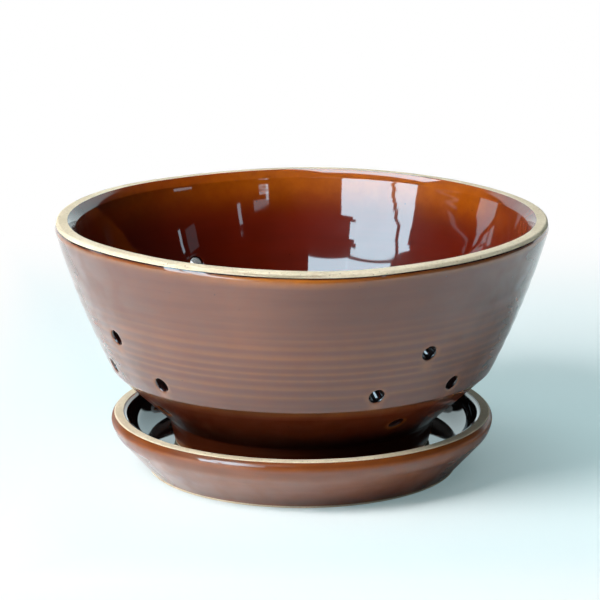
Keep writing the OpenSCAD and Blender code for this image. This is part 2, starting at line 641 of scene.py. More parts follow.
def new_material(name: str) -> tuple[bpy.types.Material, Tree]:
    """Starts a material.

    Args:
        name: Name of the material.

    Returns:
        The material, and a tree to build it with.
    """
    material = bpy.data.materials.new(name)
    material.use_nodes = True
    return material, Tree(material.node_tree)


def group(name: str, inputs: dict[str, float], outputs: tuple[str, ...]
          ) -> tuple[bpy.types.NodeTree, Tree, bpy.types.NodeOutputs]:
    """Starts a shader node group.

    Args:
        name: Name of the group.
        inputs: Its number inputs and their first values.
        outputs: Its number outputs.

    Returns:
        The group, a tree to build it with, and what its inputs give.
    """
    tree = bpy.data.node_groups.new(name, "ShaderNodeTree")
    for label, value in inputs.items():
        tree.interface.new_socket(label, in_out="INPUT", socket_type="NodeSocketFloat"
                                  ).default_value = value
    for label in outputs:
        tree.interface.new_socket(label, in_out="OUTPUT", socket_type="NodeSocketFloat")
    made = Tree(tree)
    return tree, made, made.add("NodeGroupInput").outputs


class SharedEffects:
    """The node groups that more than one finish uses."""

    def __init__(self) -> None:
        """Builds each group once."""
        self.bands = self._bands()
        self.specks = self._specks()
        self.grain = self._grain()

    def _bands(self) -> bpy.types.NodeTree:
        """Soft uneven bands that the turning wheel leaves in a glaze.

        Returns:
            A group that puts out a wide band and a fine band, 0 to 1.
        """
        tree, made, given = group("turning_bands", {"Wide": 120.0, "Fine": 520.0},
                                  ("Wide Band", "Fine Band"))
        flat = made.add("ShaderNodeMapping", {
            "Vector": made.place(), "Scale": (0.06, 0.06, 1.0)}).outputs["Vector"]
        made.add("NodeGroupOutput", {
            "Wide Band": made.ramp(made.noise(flat, given["Wide"], 1.5), 0.35, 0.65),
            "Fine Band": made.ramp(made.noise(flat, given["Fine"]), 0.38, 0.62)})
        return tree

    def _specks(self) -> bpy.types.NodeTree:
        """Pinholes and iron specks in a fired glaze.

        Returns:
            A group that puts out two masks, 1 on a speck and 1 in a pinhole.
        """
        tree, made, given = group("specks_and_pinholes", {"Scale": 260.0, "Amount": 0.1},
                                  ("Speck", "Pinhole"))
        cells = made.add("ShaderNodeTexVoronoi", {
            "Vector": made.place(), "Scale": given["Scale"]}, feature="F1").outputs
        pick = made.add("ShaderNodeSeparateColor", {"Color": cells["Color"]}).outputs
        size = made.times(given["Amount"], pick["Green"])
        dot = made.ramp(made.math("SUBTRACT", size, cells["Distance"]), 0.0, 0.03)
        made.add("NodeGroupOutput", {
            name: made.times(dot, made.math("GREATER_THAN", pick["Red"], rare))
            for name, rare in (("Speck", 0.72), ("Pinhole", 0.93))})
        return tree

    def _grain(self) -> bpy.types.NodeTree:
        """Grain of bare fired stoneware.

        Returns:
            A group that puts out a tone, a mask of iron specks and a height.
        """
        tree, made, given = group("clay_grain", {"Scale": 900.0},
                                  ("Tone", "Iron", "Height"))
        place = made.place()
        sand = made.noise(place, given["Scale"], 3.0, 0.6)
        tone = made.times(made.math("ADD", sand, made.noise(place, 60.0)), 0.5)
        made.add("NodeGroupOutput", {
            "Tone": made.ramp(tone, 0.35, 0.65),
            "Iron": made.ramp(made.noise(place, 1400.0, 1.0), 0.68, 0.74),
            "Height": sand})
        return tree


@dataclass(frozen=True)
class Glaze:
    """A glossy iron glaze: dark where it is thick, orange where it runs thin.

    The mesh says where: it keeps the marks thin (thin glaze), pool (pooled glaze and painted
    shade) and starved (starved glaze and reflection dimmed as painted shade), each 0 to 1.
    """

    finish: Finish
    deep: Colour
    body: Colour
    thin: Colour
    band_share: float = 0.5
    fine_share: float = 0.25
    cloud_share: float = 0.25
    cloud_scale: float = 38.0
    mottle_scale: float = 210.0
    rough_scale: float = 90.0
    ripple_scale: float = 110.0
    speck_scale: float = 260.0
    roughness: float = 0.05
    ripple: float = 0.02
    coat_roughness: float = 0.03
    coat_ior: float = 1.62
    ior: float = 1.5

    def material(self, effects: SharedEffects) -> bpy.types.Material:
        """Builds the material.

        Args:
            effects: The shared node groups.

        Returns:
            The material.
        """
        material, made = new_material(self.finish.value)
        place = made.place()
        bands = made.add("ShaderNodeGroup", node_tree=effects.bands).outputs
        specks = made.add("ShaderNodeGroup", {"Scale": self.speck_scale},
                          node_tree=effects.specks).outputs
        pool_and_shade = made.mark("pool_and_shade")
        dark = (self.deep[0] * 0.2, self.deep[1] * 0.05, self.deep[2] * 0.05)

        striped = made.math("ADD", made.times(bands["Wide Band"], self.band_share),
                            made.times(bands["Fine Band"], self.fine_share))
        cloud = made.ramp(made.noise(place, self.cloud_scale, 3.0, 0.55), 0.3, 0.7,
                          0.0, self.cloud_share)
        uneven = made.math("ADD", striped, cloud, clamp=True)
        colour = made.mix(uneven, self.body, self.deep)
        # Pooled glaze and painted shade darken the colour; near 1 it turns near black, as
        # painted shade.
        colour = made.mix(made.times(pool_and_shade, 0.85), colour, self.deep)
        mottle = made.ramp(made.noise(place, self.mottle_scale, 3.0, 0.6), 0.3, 0.7,
                           0.75, 1.0)
        colour = made.mix(made.times(made.mark("thin"), mottle), colour, self.thin)
        colour = made.mix(made.ramp(pool_and_shade, 0.8, 1.0), colour, dark)
        colour = made.mix(made.times(specks["Speck"], 0.7), colour, dark)

        rough = made.ramp(made.noise(place, self.rough_scale), 0.3, 0.7,
                          self.roughness * 0.8, self.roughness * 1.5)
        rough = made.math("ADD", rough, made.times(specks["Pinhole"], 0.4), clamp=True)
        waves = made.noise(place, self.ripple_scale, 2.0, 0.45)
        height = made.math("SUBTRACT", made.times(waves, self.ripple),
                           made.times(specks["Pinhole"], 0.05))
        bump = made.add("ShaderNodeBump", {"Height": height, "Distance": MM})
        # The coat and specular fall where the glaze is starved and where reflection is dimmed
        # as painted shade.
        shine = made.math("SUBTRACT", 1.0, made.mark("starved_and_shaded"))
        shader = made.add("ShaderNodeBsdfPrincipled", {
            "Base Color": colour, "Roughness": rough, "IOR": self.ior,
            "Specular IOR Level": made.times(shine, 0.5), "Coat Weight": shine,
            "Coat Roughness": self.coat_roughness, "Coat IOR": self.coat_ior,
            "Normal": bump.outputs["Normal"]})
        made.add("ShaderNodeOutputMaterial", {"Surface": shader.outputs["BSDF"]})
        return material


@dataclass(frozen=True)
class Clay:
    """Bare fired stoneware, wiped clean of glaze."""

    finish: Finish = Finish.CLAY
    pale: Colour = srgb(227, 211, 184)
    dark: Colour = srgb(211, 192, 163)
    iron: Colour = srgb(120, 84, 58)

    def material(self, effects: SharedEffects) -> bpy.types.Material:
        """Builds the material.

        Args:
            effects: The shared node groups.

        Returns:
            The material.
        """
        material, made = new_material(self.finish.value)
        grain = made.add("ShaderNodeGroup", node_tree=effects.grain).outputs
        colour = made.mix(grain["Tone"], self.dark, self.pale)
        colour = made.mix(made.times(grain["Iron"], 0.6), colour, self.iron)
        bump = made.add("ShaderNodeBump", {
            "Height": grain["Height"], "Strength": 0.6, "Distance": MM * 0.15})
        shader = made.add("ShaderNodeBsdfPrincipled", {
            "Base Color": colour, "Roughness": 0.8, "IOR": 1.45,
            "Normal": bump.outputs["Normal"]})
        made.add("ShaderNodeOutputMaterial", {"Surface": shader.outputs["BSDF"]})
        return material


def all_finishes() -> dict[Finish, bpy.types.Material]:
    """Builds every finish once.

    Returns:
        The material of each finish.
    """
    effects = SharedEffects()
    glazes = [
        Glaze(Finish.OUTSIDE, deep=srgb(72, 23, 7), body=srgb(122, 63, 33),
              thin=srgb(206, 122, 34), band_share=0.15, fine_share=0.12,
              roughness=0.36, ior=1.32, coat_ior=1.83),
        Glaze(Finish.INSIDE, deep=srgb(56, 9, 0), body=srgb(122, 24, 0),
              thin=srgb(206, 108, 0), band_share=0.12, fine_share=0.06,
              roughness=0.36, ior=1.2, coat_ior=1.86),
        Glaze(Finish.SAUCER_WALL, deep=srgb(88, 40, 18), body=srgb(138, 75, 38),
              thin=srgb(176, 92, 20), band_share=0.3, fine_share=0.15,
              roughness=0.36, ior=1.36, coat_ior=1.8),
        Glaze(Finish.SAUCER_WELL, deep=srgb(26, 9, 5), body=srgb(54, 18, 8),
              thin=srgb(176, 96, 36), coat_ior=2.05),
    ]
    made = {glaze.finish: glaze.material(effects) for glaze in glazes}
    made[Finish.CLAY] = Clay().material(effects)
    return made


def dress(piece: bpy.types.Object, section: Section,
          finishes: dict[Finish, bpy.types.Material]) -> None:
    """Gives each face the finish of the section's nearest piece, and smooths the surface.

    Args:
        piece: The thrown piece.
        section: Its section.
        finishes: The materials.
    """
    used = list(dict.fromkeys(section.finishes))
    for finish in used:
        piece.data.materials.append(finishes[finish])
    centres = np.zeros(len(piece.data.polygons) * 3)
    piece.data.polygons.foreach_get("center", centres)
    centres = centres.reshape(-1, 3) / MM
    faces = np.stack([np.hypot(centres[:, 0], centres[:, 1]), centres[:, 2]], axis=1)
    ends = np.array(section.points)
    middles = (ends[1:] + ends[:-1]) / 2
    codes = np.array([used.index(finish) for finish in section.finishes])
    chosen = np.zeros(len(faces), dtype=np.int32)
    for start in range(0, len(faces), 5000):
        part = faces[start:start + 5000]
        away = ((part[:, None, :] - middles[None]) ** 2).sum(axis=2)
        chosen[start:start + 5000] = codes[away.argmin(axis=1)]
    piece.data.polygons.foreach_set("material_index", chosen)
    only(piece)
    bpy.ops.object.shade_smooth_by_angle(angle=math.radians(38))


# ---- The bowl ----


@dataclass
class ColanderBowl:
    """The thrown bowl with its four clusters of drain holes."""

    stand: float = 8.5
    height: float = 79.0
    rim_r: float = 85.0
    wall: float = 6.8
    wall_arc: float = 262.0
    turn_r: float = 65.6
    turn_h: float = 27.8
    turn_round: float = 2.6
    floor_top: float = 16.5
    cove_r: float = 34.0
    bevel: float = 2.6
    bevel_bow: float = 0.16
    rim_round: float = 0.9
    glaze_drop: float = 1.3
    glaze_roll: float = 1.4
    glaze_t: float = 0.4
    wipe_turn: float = -5.0
    wipe_spread: float = 15.0
    wipe_h: float = 4.2
    wipe_w: float = 2.4
    wipe_depth: float = 1.4
    wipe_shine: float = 0.8
    roll_reach: float = 0.7
    line_rate: float = 2.1
    line_beat: float = 0.45
    line_drift: float = 0.9
    line_share: float = 0.17
    line_top: float = 61.62
    left_x: Pair = (0.0, 0.7)
    left_share: float = 0.6
    ends_x: Pair = (0.74, 0.86)
    ends_share: float = 0.9
    # Darkening inside: lower down, and as painted shade on the left wall.
    deep_h: Pair = (74.0, 48.0)
    deep_and_shade_shares: Pair = (0.6, 0.5)
    # Where painted shade darkens the outer wall, and how much.
    outer_shade_x: Pair = (-0.3, 0.7)
    outer_shade_h: Pair = (56.0, 34.0)
    outer_shade_shares: tuple[float, float, float] = (0.8, 0.9, 0.55)
    # Where reflection is dimmed as painted shade at the inner left end.
    end_shade_x: Pair = (0.62, 0.82)
    end_shade_share: float = 0.7
    # The underside below the turn is painted as shade: darker and less reflective.
    under_start: float = 0.9
    under_full: float = 3.7
    under_shade: float = 0.86
    under_shine: float = 0.8
    inner_deep_cap: float = 0.78
    foot_r: float = 44.0
    foot_lean: float = 2.0
    foot_h: float = 9.6
    foot_w: float = 6.0
    foot_edge: float = 0.7
    foot_bare: Pair = (2.2, 1.6)
    recess: float = 8.5
    recess_round: float = 2.5
    hole_r: float = 2.4
    hole_turns: tuple[float, ...] = (124.0, -146.0, -56.0, 34.0)
    cluster_h: float = 32.6
    cluster_rise: float = 14.0
    cluster_half_w: float = 15.4
    floor_hole_place: float = 12.0
    ring_depth: float = 0.13
    ring_start: float = 6.0
    ring_pitch: float = 5.2
    rings: int = 6
    steps: int = 256
    swells: tuple[Swell, ...] = (
        Swell(-48, 17, 1.0), Swell(-22, 10, 0.2), Swell(2, 13, -0.55), Swell(13, 7, -0.65),
        Swell(56, 20, 0.7), Swell(122, 18, -0.35), Swell(172, 22, 0.5), Swell(212, 16, -0.45),
        Swell(254, 12, -0.2))

    def __post_init__(self) -> None:
        """Finds the centres of the wall's curve and of the cove inside."""
        chord = Vector((self.rim_r - self.turn_r, self.height - self.turn_h))
        square = Vector((-chord.y, chord.x)).normalized()
        middle = Vector(((self.rim_r + self.turn_r) / 2, (self.height + self.turn_h) / 2))
        centre = middle + square * math.sqrt(self.wall_arc ** 2 - (chord.length / 2) ** 2)
        self.wall_centre = (centre.x, centre.y)
        cove_h = self.floor_top + self.cove_r
        self.cove_centre = (self.wall_x(self.inner_arc - self.cove_r, cove_h), cove_h)
        line = Vector(self.cove_centre) - centre
        touch = centre + line.normalized() * self.inner_arc
        self.cove_touch = (touch.x, touch.y)

    @property
    def inner_arc(self) -> float:
        """Radius of the inner wall's curve."""
        return self.wall_arc - self.wall

    def wall_x(self, arc: float, h: float) -> float:
        """Radius of the form on a curve about the wall's centre, at a height."""
        return self.wall_centre[0] + math.sqrt(arc ** 2 - (h - self.wall_centre[1]) ** 2)

    def ring(self, h: float) -> float:
        """Depth of the throwing rings at a height above the bowl's foot, 0 to 1.

        Args:
            h: Height above the foot.

        Returns:
            1 in the middle of a ring, 0 between rings.
        """
        depth = 0.0
        for i in range(self.rings):
            middle = self.turn_h + self.ring_start + i * self.ring_pitch
            depth += math.exp(-((h - middle) / 1.5) ** 2) * (1.0 if i % 2 else 0.75)
        return depth

    def section(self) -> Section:
        """Draws the bowl's section from the middle of its recess round to its floor.

        Returns:
            The section, standing in its place over the saucer.
        """
        base = self.stand
        recess_r = self.foot_r - self.foot_w
        bevel_low = (self.wall_x(self.inner_arc, self.height - self.bevel),
                     self.height - self.bevel)
        bevel_high = (bevel_low[0] + self.bevel, self.height)
        top = base + self.height
        roll_h = self.height - self.glaze_drop - self.glaze_roll
        roll = (self.wall_x(self.wall_arc, roll_h), base + roll_h)
        clay_r = roll[0] - self.glaze_t
        s = Section().start(0, base + self.recess).dress(Finish.OUTSIDE)
        s.line(recess_r, base + self.recess, step=4).corner(self.recess_round)
        s.line(recess_r, base + self.foot_bare[0]).dress(Finish.CLAY)
        s.line(recess_r, base + self.foot_edge).corner(0.3)
        s.line(recess_r + self.foot_edge, base).corner(0.4)
        s.line(self.foot_r - self.foot_edge, base).corner(0.4)
        s.line(self.foot_r, base + self.foot_edge).corner(0.3)
        s.line(self.foot_r + 0.3, base + self.foot_bare[1]).dress(Finish.OUTSIDE)
        s.line(self.foot_r + self.foot_lean, base + self.foot_h).corner(1.6)
        s.line(self.turn_r, base + self.turn_h).corner(self.turn_round)
        centre = (self.wall_centre[0], self.wall_centre[1] + base)
        s.arc(centre, self.wall_x(self.wall_arc, roll_h - self.wipe_h),
              roll[1] - self.wipe_h, step=0.9)
        s.arc(centre, *roll, step=0.25).corner(2.0)
        s.line(clay_r, top - self.glaze_drop, step=0.2).corner(0.12).dress(Finish.CLAY)
        s.line(clay_r - 0.06, top - self.glaze_drop + 0.06).corner(0.05)
        s.line(clay_r - 0.05, top, step=0.5).corner(self.rim_round)
        s.line(bevel_high[0] + 0.1, top).corner(0.08).dress(Finish.INSIDE)
        s.line(bevel_high[0], top - 0.02).corner(0.1)
        s.bow(bevel_low[0], base + bevel_low[1], self.bevel_bow, step=0.4).corner(0.35)
        s.arc(centre, self.cove_touch[0], base + self.cove_touch[1], step=0.8)
        s.arc((self.cove_centre[0], self.cove_centre[1] + base),
              self.cove_centre[0], base + self.floor_top, step=1.2)
        s.line(0, base + self.floor_top, step=2.5)

        def finger(point: Pair, finish: Finish) -> float:
            """How far the fingers pushed the surface.

            Args:
                point: Radius and height of a point.
                finish: Finish of the surface there.

            Returns:
                How far out the point goes.
            """
            h = point[1] - base
            if finish is Finish.OUTSIDE and h > self.turn_h + 2:
                return -self.ring_depth * self.ring(h)
            if finish is Finish.INSIDE and self.floor_top + 8 < h < self.height - 5:
                return -0.006 * (math.sin(h * 0.83) + math.sin(h * 0.49 + 1.0))
            return 0.0

        return s.rounded().pushed(finger)

    def holes(self) -> list[Hole]:
        """Places the drain holes: four to a cluster, and four in the floor.

        Returns:
            The holes.
        """
        found = []

        def wall_hole(h: float, direction: float) -> None:
            """Adds a hole square to the wall.

            Args:
                h: Its height above the foot.
                direction: Its direction round the bowl.
            """
            r = self.wall_x(self.wall_arc, h)
            lean = Vector((r - self.wall_centre[0], h - self.wall_centre[1])).normalized()
            x, y = toward(direction)
            found.append(Hole((r * x, r * y, h + self.stand),
                              (lean.x * x, lean.x * y, lean.y), self.wall, self.hole_r))

        foot = Vector((self.foot_r + self.foot_lean, self.foot_h))
        turn = Vector((self.turn_r, self.turn_h))
        low = (foot + turn) / 2
        along = (turn - foot).normalized()
        lean = Vector((along.y, -along.x))
        away = low - Vector(self.cove_centre)
        half = away.dot(lean)
        depth = half - math.sqrt(half ** 2 - away.length_squared + self.cove_r ** 2)
        cluster_r = self.wall_x(self.wall_arc, self.cluster_h)
        side = math.degrees(self.cluster_half_w / cluster_r)
        for direction in self.hole_turns:
            wall_hole(self.cluster_h + self.cluster_rise, direction)
            wall_hole(self.cluster_h, direction - side)
            wall_hole(self.cluster_h, direction + side)
            x, y = toward(direction)
            found.append(Hole((low.x * x, low.x * y, low.y + self.stand),
                              (lean.x * x, lean.x * y, lean.y), depth, self.hole_r,
                              flare=60.0))
            found.append(Hole((self.floor_hole_place * x, self.floor_hole_place * y,
                               self.stand + self.recess),
                              (0, 0, -1), self.floor_top - self.recess, self.hole_r))
        return found

    def edges(self) -> list[Edge]:
        """Finds where the glaze breaks thin.

        Returns:
            The bowl's edges.
        """
        top = self.stand + self.height
        low = (self.wall_x(self.inner_arc, self.height - self.bevel), top - self.bevel)
        return [Edge(self.rim_r - 0.8, top - 2.4, 1.3, 0.3),
                Edge(low[0], low[1], 8.0, 0.6, inside=True),
                Edge(low[0] + 1.5, low[1] + 1.5, 2.6, 0.4, inside=True),
                Edge(self.turn_r - 1.2, self.stand + self.turn_h - 1.2, 1.2, 0.16),
                Edge(self.foot_r, self.stand + 2.0, 1.0, 0.9)]

    def build(self, finishes: dict[Finish, bpy.types.Material]) -> bpy.types.Object:
        """Throws, punches, bends and dresses the bowl.

        Args:
            finishes: The materials.

        Returns:
            The bowl.
        """
        section = self.section()
        piece = throw("thrown_bowl", section, self.steps)
        holes = self.holes()
        punch(piece, holes)
        dress(piece, section, finishes)
        self.mark(piece, holes)
        self.wipe(piece)
        bend(piece, self.swells, self.stand + self.turn_h, self.stand + self.height,
             self.rim_r)
        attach(piece, Body.BOWL.value)
        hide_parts("colander_bowl")
        return piece

    def wiped(self, places: np.ndarray) -> np.ndarray:
        """How much of the wipe over the rim's outer edge each place got, 0 to 1.

        Args:
            places: Places on the bowl, in millimetres.

        Returns:
            The share at each place.
        """
        r = np.hypot(places[:, 0], places[:, 1])
        turn = np.degrees(np.arctan2(places[:, 0], -places[:, 1]))
        low = self.stand + self.height - self.glaze_drop - self.wipe_h
        up = climb(places[:, 2], low, low + self.wipe_h)
        outer = climb(r, self.rim_r - self.wipe_w, self.rim_r - self.wipe_w + 0.9)
        return hump(apart(turn, self.wipe_turn), 0, self.wipe_spread) * up ** 2 * outer

    def wipe(self, piece: bpy.types.Object) -> None:
        """Wears the rim's outer edge down where the sponge rested on it.

        Args:
            piece: The bowl.
        """
        worn = piece.vertex_groups.new(name="wiped")
        for index, share in enumerate(self.wiped(coordinates(piece))):
            if share > 0.001:
                worn.add([index], float(share), "REPLACE")
        change(piece, "DISPLACE", mid_level=0.0, strength=-self.wipe_depth * MM,
               vertex_group=worn.name)
        piece.vertex_groups.clear()

    def is_inner(self, r: np.ndarray, height: np.ndarray) -> np.ndarray:
        """Tells the bowl's inside from its outside.

        Args:
            r: Radius of each place.
            height: Its height above the foot.

        Returns:
            True where the place belongs to the inside.
        """
        arc = np.hypot(r - self.wall_centre[0], height - self.wall_centre[1])
        cone = np.interp(height, (0, self.foot_h, self.turn_h),
                         (self.foot_r, self.foot_r + self.foot_lean, self.turn_r))
        return (arc < self.wall_arc - self.wall / 2) & (
            (height > self.turn_h) | (r < cone - self.wall / 2))

    def finger_lines(self, height: np.ndarray) -> np.ndarray:
        """Thin glaze on the ridges that the fingers left outside.

        Args:
            height: Height of each place above the foot.

        Returns:
            The share of thin glaze.
        """
        drift = self.line_drift * np.sin(height * self.line_beat)
        lines = (0.5 + 0.5 * np.sin(height * self.line_rate + drift)) ** 2
        return self.line_share * lines * climb(
            height, self.turn_h + 1, self.turn_h + 6) * climb(
            height, self.line_top, self.line_top - 10)

    def mark(self, piece: bpy.types.Object, holes: list[Hole]) -> None:
        """Writes where the glaze is thin, where it pools, where it lost its shine and where
        shade is painted.

        Args:
            piece: The bowl.
            holes: Its holes.
        """
        places = coordinates(piece)
        r, z = np.hypot(places[:, 0], places[:, 1]), places[:, 2]
        height, aside = z - self.stand, places[:, 0] / self.rim_r
        inner = self.is_inner(r, height)
        wiped = self.wiped(places)
        # The underside below the turn is painted as shade: its colour darkens and its
        # reflection is dimmed.
        under = climb(height, self.turn_h - self.under_start,
                      self.turn_h - self.under_full) * ~inner
        # The glaze edge under the rim is painted near black: partly the thick glaze's own
        # dark colour, partly painted shade.
        below = self.stand + self.height - self.glaze_drop - z
        roll = hump(below, 0, self.roll_reach, 4) * ~inner * (below > -0.05)
        # Inside the bores the colour is painted near black as shade.
        rings, bores = zip(*(hole.marks(places) for hole in holes))
        bore = np.any(bores, axis=0)

        edges = np.max([edge.share(r, z) * (inner == edge.inside)
                        for edge in self.edges()], axis=0)
        # On the inner left the thin orange edges fade, painted shade where the wall faces
        # away from the light.
        left = self.left_share * climb(-aside, *self.left_x)
        ends = self.ends_share * climb(np.abs(aside), *self.ends_x)
        edges *= np.where(inner, (1 - left) * (1 - ends), 1)
        thin = np.max((edges, self.finger_lines(height) * ~inner, *rings,
                       0.9 * np.sqrt(wiped)), axis=0)
        write_attribute(piece, "thin", thin * ~bore * (1 - roll))

        # Inside, the glaze darkens lower down, and painted shade darkens the left wall, which
        # faces away from the light.
        down, left_shade = self.deep_and_shade_shares
        deep = np.minimum(down * climb(height, *self.deep_h) + left_shade * climb(-aside, 0, 1),
                          self.inner_deep_cap)
        # Outside, painted shade darkens the right side and the wall lower down; the far left
        # darkens a little too.
        right, far, low = self.outer_shade_shares
        fired = np.max((right * climb(aside, *self.outer_shade_x),
                        far * np.clip(-aside - 0.2, 0, 0.45),
                        low * climb(height, *self.outer_shade_h)), axis=0)
        fired *= height > self.turn_h - 3
        write_attribute(piece, "pool_and_shade", np.max(
            (np.where(inner, deep, fired), under * self.under_shade, roll, bore), axis=0))

        # Reflection is dimmed as painted shade at the inner wall's left end, below the bevel.
        end = self.end_shade_share * climb(-aside, *self.end_shade_x) * inner * climb(
            height, self.height - self.bevel - 1, self.height - self.bevel - 4)
        write_attribute(piece, "starved_and_shaded", np.max(
            (end, under * self.under_shine, wiped * self.wipe_shine), axis=0) * (1 - roll))


# ---- The saucer ----


@dataclass
class DripSaucer:
    """The loose saucer that catches what drains from the bowl."""

    height: float = 19.5
    rim_r: float = 66.0
    rim_w: float = 5.4
    rim_round: float = 0.7
    band_h: float = 2.0
    band_lean: float = 1.0
    band_bow: float = 0.22
    facet_h: float = 2.5
    shoulder_r: float = 8.0
    foot_r: float = 53.4
    foot_line: float = 0.7
    floor_t: float = 6.0
    recess: float = 2.5
    foot_w: float = 6.0
    cove_r: float = 9.6
    # The band is painted darker and less reflective as shade, save along a painted highlight
    # streak.
    band_shade: float = 0.45
    band_shine: float = 0.75
    highlight_x: float = -31.0
    highlight_w: float = 14.0
    steps: int = 256

    def section(self) -> Section:
        """Draws the saucer's section from the middle of its recess round to its well.

        Returns:
            The section.
        """
        shoulder = Vector((self.rim_r - self.shoulder_r, self.height - self.band_h))
        start = Vector((self.foot_r, self.foot_line))
        away = start - shoulder
        along = away * (self.shoulder_r / away.length) ** 2
        rest = math.sqrt(away.length_squared - self.shoulder_r ** 2)
        up = Vector((-away.y, away.x)) * (self.shoulder_r / away.length_squared) * rest
        touch = shoulder + along + up
        well_r = self.rim_r - self.rim_w
        recess_r = self.foot_r - self.foot_w
        floor = self.recess + self.floor_t
        s = Section().start(0, self.recess).dress(Finish.SAUCER_WALL)
        s.line(recess_r - 1, self.recess, step=4).dress(Finish.CLAY)
        s.line(recess_r, self.recess).corner(0.6).line(recess_r, 0).corner(0.4)
        s.line(self.foot_r, 0).corner(0.4)
        s.line(self.foot_r + 0.05, self.foot_line).dress(Finish.SAUCER_WALL)
        s.line(touch.x, touch.y, step=0.8)
        widest_h = self.height - self.facet_h
        widest_r = shoulder.x + math.sqrt(
            self.shoulder_r ** 2 - (widest_h - shoulder.y) ** 2)
        edge_r = self.rim_r - self.band_lean
        s.arc((shoulder.x, shoulder.y), widest_r, widest_h, step=0.6).corner(1.0)
        s.bow(edge_r, self.height - 0.3, self.band_bow, step=0.3).corner(0.15)
        s.dress(Finish.CLAY)
        s.line(edge_r - 0.12, self.height - 0.26).corner(0.05)
        s.line(edge_r - 0.3, self.height).corner(0.2)
        s.line(well_r + 1.3, self.height).corner(0.15)
        s.dress(Finish.SAUCER_WELL)
        s.line(well_r + 1.2, self.height - 0.05).corner(0.1)
        s.line(well_r, self.height - 0.7).corner(self.rim_round)
        s.line(well_r, floor + self.cove_r)
        s.arc((well_r - self.cove_r, floor + self.cove_r), well_r - self.cove_r, floor,
              step=0.7)
        s.line(0, floor, step=2.5)

        def finger(point: Pair, finish: Finish) -> float:
            """How far the fingers pushed the surface.

            Args:
                point: Radius and height of a point.
                finish: Finish of the surface there.

            Returns:
                How far out the point goes.
            """
            if finish is Finish.SAUCER_WALL and self.foot_line + 1 < point[1] < 15:
                return -0.03 * (0.5 + 0.5 * math.sin(point[1] * 1.3))
            if finish is Finish.SAUCER_WELL and 8 < point[0] < 50:
                return -0.03 * (0.5 + 0.5 * math.sin(point[0] * 0.9))
            return 0.0

        return s.rounded().pushed(finger)

    def edges(self) -> list[Edge]:
        """Finds where the glaze breaks thin.

        Returns:
            The saucer's edges.
        """
        return [Edge(self.rim_r - 0.8, self.height - 1.0, 1.2, 0.25),
                Edge(self.rim_r, self.height - self.facet_h, 0.8, 0.4),
                Edge(self.rim_r - self.rim_w + 0.5, self.height - 0.4, 0.9, 0.8),
                Edge(self.foot_r, self.foot_line + 0.4, 0.5, 0.6)]

    def mark(self, piece: bpy.types.Object) -> None:
        """Writes where the glaze is thin, where it pools, where it lost its shine and where
        shade is painted.

        Args:
            piece: The saucer.
        """
        places = coordinates(piece)
        r, z = np.hypot(places[:, 0], places[:, 1]), places[:, 2]
        floor, well_r = self.recess + self.floor_t, self.rim_r - self.rim_w
        drop = np.clip(floor + self.cove_r - z, 0, self.cove_r)
        cove = well_r - self.cove_r + np.sqrt(self.cove_r ** 2 - drop ** 2)
        well = (z > floor - 0.5) & (r < cove + 1)
        band_low = self.height - self.facet_h - 0.9
        band = climb(z, band_low, band_low + 0.6)
        # A painted highlight: along this streak, left of the front, the band keeps its
        # reflection, which is dimmed elsewhere as painted shade.
        highlight_streak = hump(places[:, 0], self.highlight_x, self.highlight_w, 4) * (places[:, 1] < 0)
        write_attribute(piece, "thin", np.max(
            [edge.share(r, z) for edge in self.edges()], axis=0))
        # The outside darkens towards the foot, and the band below the rim is painted darker
        # as shade.
        outside = np.maximum(0.7 * hump(z, 1, 6), band * self.band_shade)
        write_attribute(piece, "pool_and_shade", np.where(well, hump(z, floor, 2.5), outside))
        write_attribute(piece, "starved_and_shaded", band * self.band_shine * (1 - highlight_streak) * ~well)

    def build(self, finishes: dict[Finish, bpy.types.Material]) -> bpy.types.Object:
        """Throws and dresses the saucer.

        Args:
            finishes: The materials.

        Returns:
            The saucer.
        """
        section = self.section()
        piece = throw("thrown_saucer", section, self.steps)
        dress(piece, section, finishes)
        self.mark(piece)
        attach(piece, Body.SAUCER.value)
        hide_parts("drip_saucer")
        return piece


# ---- The studio ----


@dataclass(frozen=True)
class Window:
    """A soft light the size of a window pane.

    Its sides and its shifts right and up are in degrees as the bowl sees them, and its
    distance is in metres.
    """

    name: str
    direction: float
    elevation: float
    wide: float
    tall: float
    strength: float
    roll: float = 0.0
    right: float = 0.0
    up: float = 0.0
    distance: float = 6.0
    lights: bool = False
    colour: Colour = (0.70, 0.97, 1.13)

    def hang(self) -> None:
        """Hangs the light in its place, facing the bowl."""
        x, y = toward(self.direction)
        lift = math.radians(self.elevation)
        way = Vector((x * math.cos(lift), y * math.cos(lift), math.sin(lift)))
        aside = Vector((0, 0, 1)).cross(way).normalized()
        facing = Matrix((aside, way.cross(aside), way)).transposed()
        facing = facing @ Matrix.Rotation(math.radians(self.roll), 3, "Z")
        degree = self.distance * math.radians(1)
        place = facing @ Vector((-self.right * degree, self.up * degree, self.distance))
        begin()
        bpy.ops.object.light_add(type="AREA", location=place + Vector((0, 0, 0.06)))
        lamp = bpy.context.object
        lamp.name = self.name
        lamp.rotation_euler = facing.to_euler()
        lamp.data.shape = "RECTANGLE"
        lamp.data.size = self.wide * degree
        lamp.data.size_y = self.tall * degree
        area = lamp.data.size * lamp.data.size_y
        lamp.data.energy = self.strength * area * math.pi
        lamp.data.color = self.colour
        lamp.visible_camera = False
        lamp.visible_diffuse = self.lights
        lamp.visible_glossy = not self.lights


